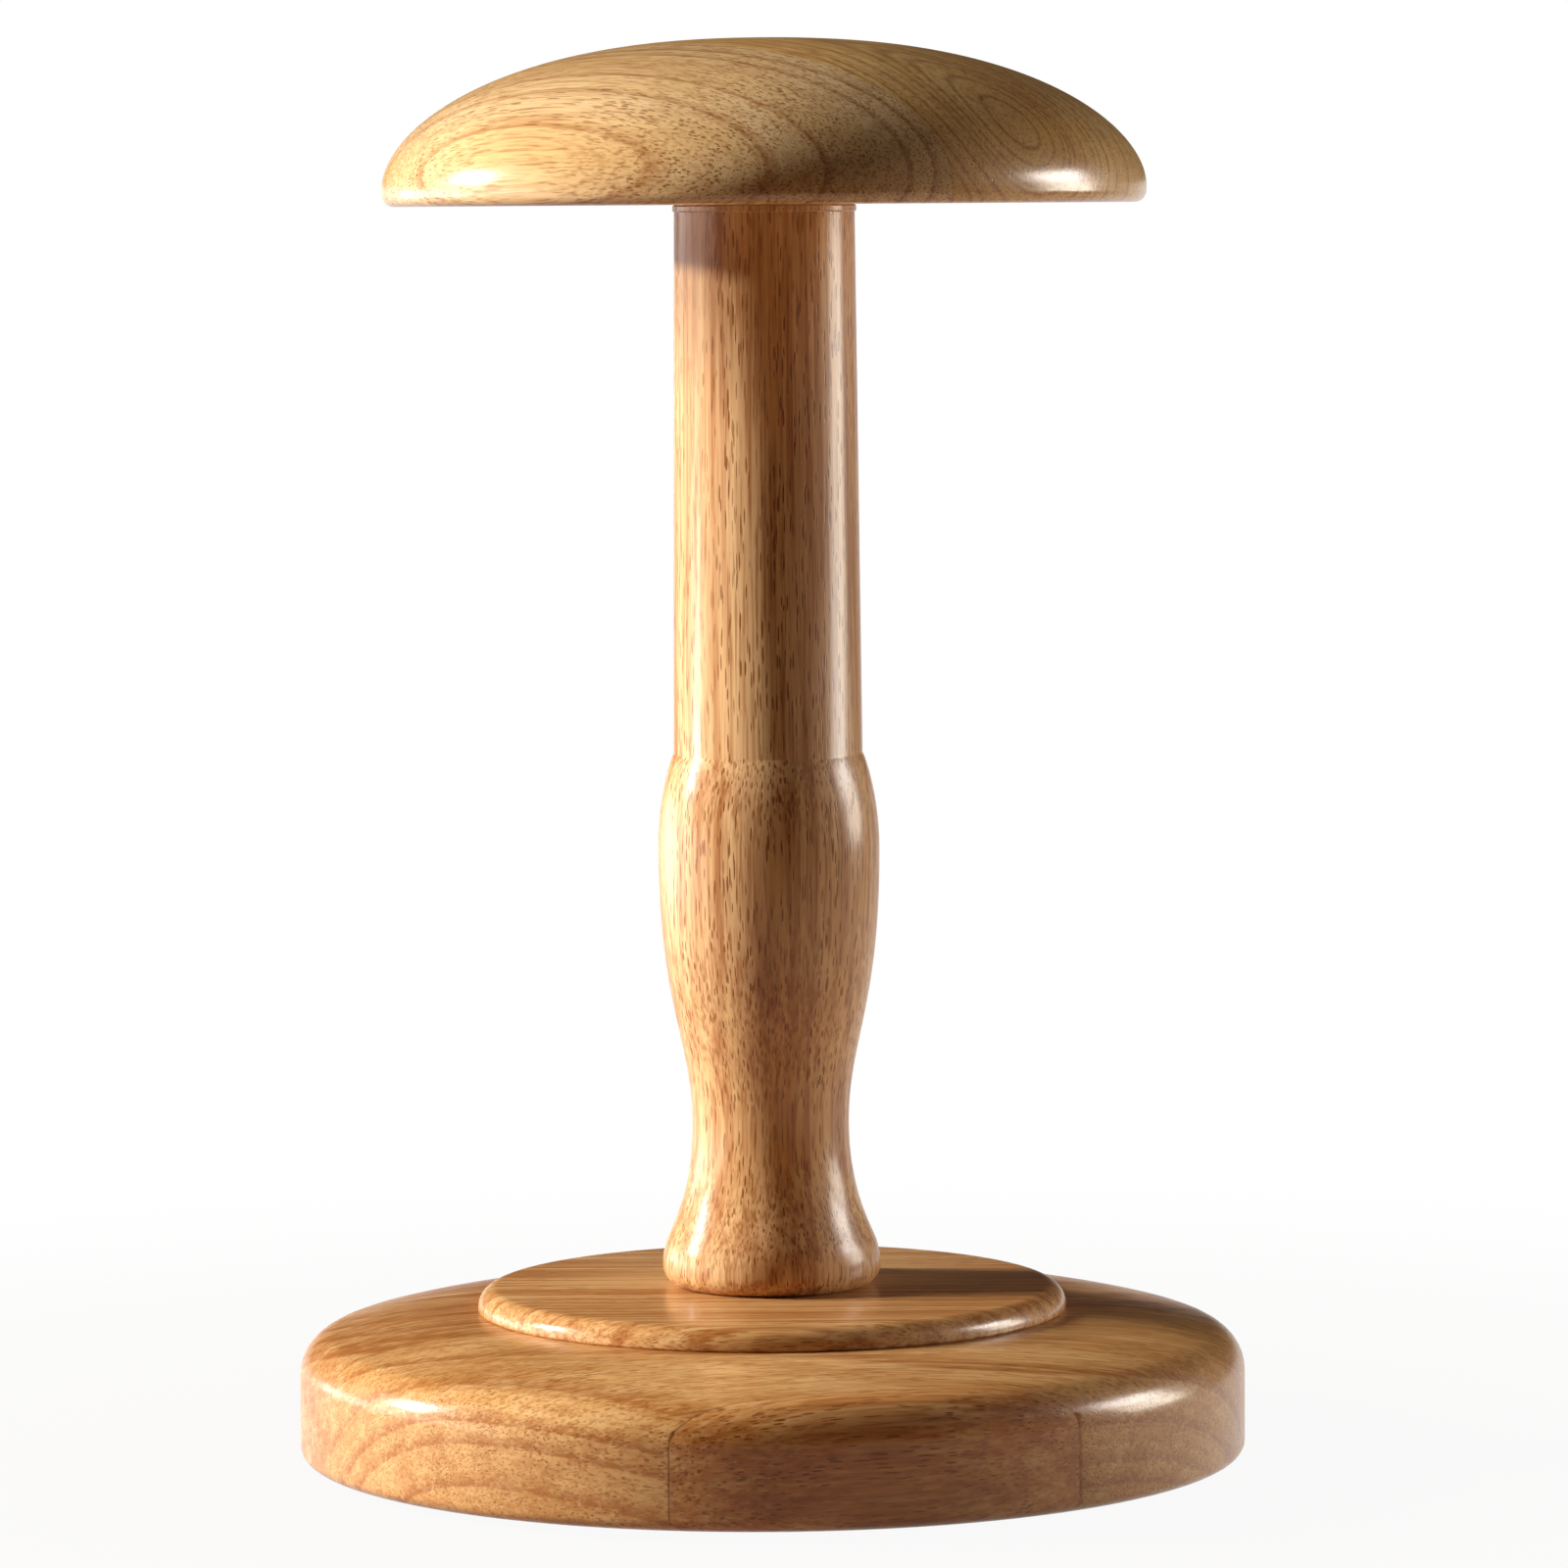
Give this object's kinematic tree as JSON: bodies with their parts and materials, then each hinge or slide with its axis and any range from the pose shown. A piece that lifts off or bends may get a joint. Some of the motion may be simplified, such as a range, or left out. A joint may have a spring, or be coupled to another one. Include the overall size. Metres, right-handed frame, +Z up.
{
  "type": "mushroom-head display stand",
  "caption": "Turned wooden stand with a domed mushroom head on a vase-shaped column and a two-tier round base, for necklaces, hats or wigs.",
  "frame": {"origin": "on the surface that the stand rests on, under the column's axis", "axes": "+Z up along the column; the front of the picture faces -Y, and +X is to its right"},
  "size_m": [0.2, 0.2, 0.3],
  "materials": {
    "base_wood": "clear gloss lacquer on pale tropical hardwood, boards glued edge to edge",
    "column_wood": "clear gloss lacquer on pale tropical hardwood, turned along the grain",
    "head_wood": "clear gloss lacquer on pale tropical hardwood, boards glued edge to edge",
    "insert_brass": "machined threaded insert",
    "zinc_steel": "bright zinc plate",
    "felt": "pressed brown felt"
  },
  "bodies": {
    "root": {"base_board_1": "base_wood", "base_board_2": "base_wood", "base_board_3": "base_wood", "base_board_4": "base_wood", "step_board_1": "base_wood", "step_board_2": "base_wood", "column": "column_wood", "head_board_1": "head_wood", "head_board_2": "head_wood", "column_insert": "insert_brass", "head_insert": "insert_brass", "flat_washer": "zinc_steel", "connector_bolt": "zinc_steel", "hanger_bolt": "zinc_steel", "felt_pad_1": "felt", "felt_pad_2": "felt", "felt_pad_3": "felt", "felt_pad_4": "felt"}
  },
  "joints": []
}
